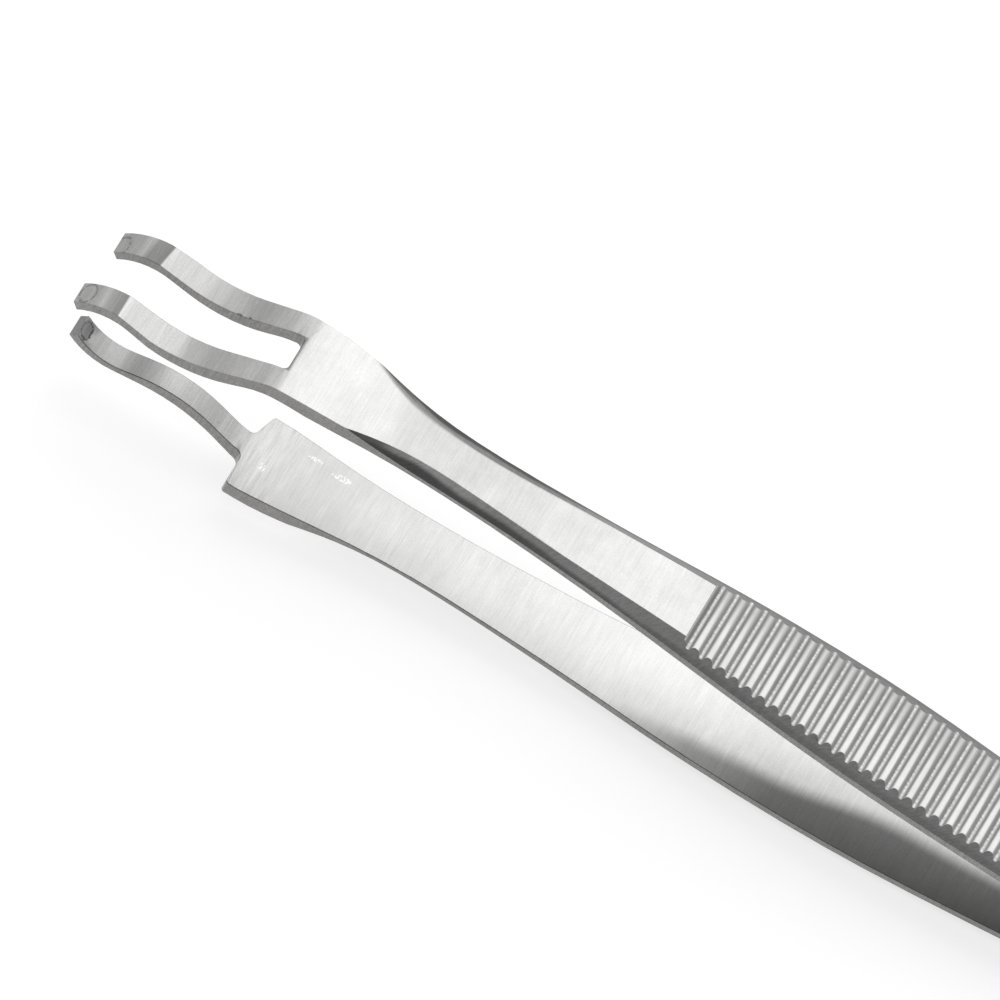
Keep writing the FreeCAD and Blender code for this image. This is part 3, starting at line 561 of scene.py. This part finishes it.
def burnt_ring_laid_on(arm, tone):
    """The burnt ring on the single claw's seat, blackest away from the tip."""
    w = arm.w
    ring = arm.oval(BURNT_RING, 0.3)
    rim = w.product(ring["Rim"], w.between(arm.x, 1.7, 2.2, 0.45, 1.0))
    crust = arm.oval(BURNT_CRUST, 0.6)["Inside"]
    blot = arm.oval(BURNT_BLOT, 0.9)["Inside"]
    spots = w.product(w.math("MAXIMUM", crust, blot), 0.8)
    black = w.product(w.math("MAXIMUM", rim, spots), arm.faces["Inner"], 0.9)
    tone = w.blend(w.product(ring["Inside"], 0.5), tone, SCORCHED_TONE)
    return w.blend(black, tone, SOOT_AND_EDGE_SHADE_TONE)


def rubs_laid_on(arm, tone):
    """Bright rubs of short cross scratches behind the single claw's shoulder."""
    w = arm.w
    lines = w.stretched_noise(arm.x, arm.y, arm.z, 6.0, 2.0, 2.0, 0.7)
    scratches = w.between(lines, 0.46, 0.56)
    for mark in RUBS:
        rub = w.product(scratches, arm.oval(mark, 0.9)["Inside"], arm.faces["Inner"], 0.65)
        tone = w.blend(rub, tone, RUB_TONE)
    return tone


def grinding_lines(arm):
    """What the grinding lines multiply the tone by; the shoulder's are the deepest."""
    w = arm.w
    lines = w.product(arm.grain["Tone"], w.between(arm.x, 17.0, 19.0, 0.95, 0.66))
    ploughed = w.blend(arm.faces["Inner"], 0.05, w.curve(arm.x, PLOUGHED_STRENGTHS))
    ploughed = w.product(w.math("SUBTRACT", arm.coarse["Height"], 0.5), ploughed)
    return w.math("ADD", 1.0, w.math("ADD", lines, ploughed))


def arm_steel(name, forked, groups):
    """Satin steel for one arm; the arm that isn't forked lies turned over, underneath."""
    material = bpy.data.materials.new(name)
    material.use_nodes = True
    shader = material.node_tree.nodes["Principled BSDF"]
    arm = ArmSurface(material.node_tree, not forked, groups)
    w = arm.w

    tone = w.blend(arm.faces["Outer"], PLAIN_TONE, outer_tone(arm, forked))
    tone = w.blend(arm.faces["Inner"], tone, inner_tone(arm))
    tone = grip_laid_on(arm, tone)
    tone = far_roll_shade_laid_on(arm, tone)
    tone = sides_and_bevels_laid_on(arm, tone)
    if forked:
        tone = fork_marks_laid_on(arm, tone)
    else:
        tone = burnt_ring_laid_on(arm, tone)
    tone = w.math("MULTIPLY", tone, grinding_lines(arm), clamp=True)
    if not forked:
        tone = rubs_laid_on(arm, tone)

    # The steel is a trace warmer than grey, and its sides a little more so.
    green = w.product(tone, w.blend(arm.faces["Side"], 1.0, 0.988))
    blue = w.product(tone, w.blend(arm.faces["Side"], 0.992, 0.965))
    colour = w.add("ShaderNodeCombineColor", tone, green, blue).outputs[0]
    w.feed(shader.inputs["Base Color"], colour)
    shader.inputs["Metallic"].default_value = 1.0
    rough = w.math("ADD", FACE_ROUGHNESS, w.product(arm.grain["Tone"], 0.12))
    w.feed(shader.inputs["Roughness"], w.blend(arm.faces["Side"], rough, SIDE_ROUGHNESS))
    height = w.math("ADD", arm.grain["Height"], w.product(arm.coarse["Height"], 0.6))
    bump = w.add("ShaderNodeBump")
    bump.inputs["Strength"].default_value = 0.25
    bump.inputs["Distance"].default_value = LINE_HEIGHT
    w.feed(bump.inputs["Height"], height)
    w.feed(shader.inputs["Normal"], bump.outputs[0])
    return material


def finer_arm(node, name, material):
    """A copy of one arm with its seams closed, smooth faces and slightly broken edges."""
    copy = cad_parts[node].copy()
    copy.data = copy.data.copy()
    copy.name = name
    copy.parent = None
    for word in list(copy.keys()):
        del copy[word]
    bpy.context.scene.collection.objects.link(copy)
    bpy.ops.object.select_all(action="DESELECT")
    bpy.context.view_layer.objects.active = copy
    copy.select_set(True)
    bpy.ops.mesh.customdata_custom_splitnormals_clear()
    bpy.ops.object.mode_set(mode="EDIT")
    bpy.ops.mesh.select_all(action="SELECT")
    bpy.ops.mesh.remove_doubles(threshold=SEAM * MM)
    bpy.ops.mesh.dissolve_limited(angle_limit=FLAT_WITHIN)
    bpy.ops.object.mode_set(mode="OBJECT")
    broken = copy.modifiers.new("broken edges", "BEVEL")
    broken.width = BROKEN_EDGE * MM
    broken.segments = 2
    broken.limit_method = "ANGLE"
    broken.angle_limit = SHARP_FROM
    broken.use_clamp_overlap = False
    broken.miter_outer = "MITER_ARC"
    bpy.ops.object.modifier_apply(modifier=broken.name)
    bpy.ops.object.shade_smooth_by_angle(angle=SHARP_FROM)
    even = copy.modifiers.new("even faces", "WEIGHTED_NORMAL")
    even.weight = 100
    even.keep_sharp = True
    bpy.ops.object.modifier_apply(modifier=even.name)
    copy.data.materials.clear()
    copy.data.materials.append(material)
    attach(copy, "root")
    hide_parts(node)


set_camera()
set_studio()
shared = {
    "grain": brushed_grain_group(),
    "clouds": soft_clouds_group(),
    "faces": faces_group(),
    "grooves": grooves_group(),
    "oval": oval_group(),
}
forked_steel = arm_steel("forked_arm_satin", True, shared)
single_steel = arm_steel("single_arm_satin", False, shared)
finer_arm("forked_arm", "forked_arm_finish", forked_steel)
finer_arm("single_prong_arm", "single_arm_finish", single_steel)
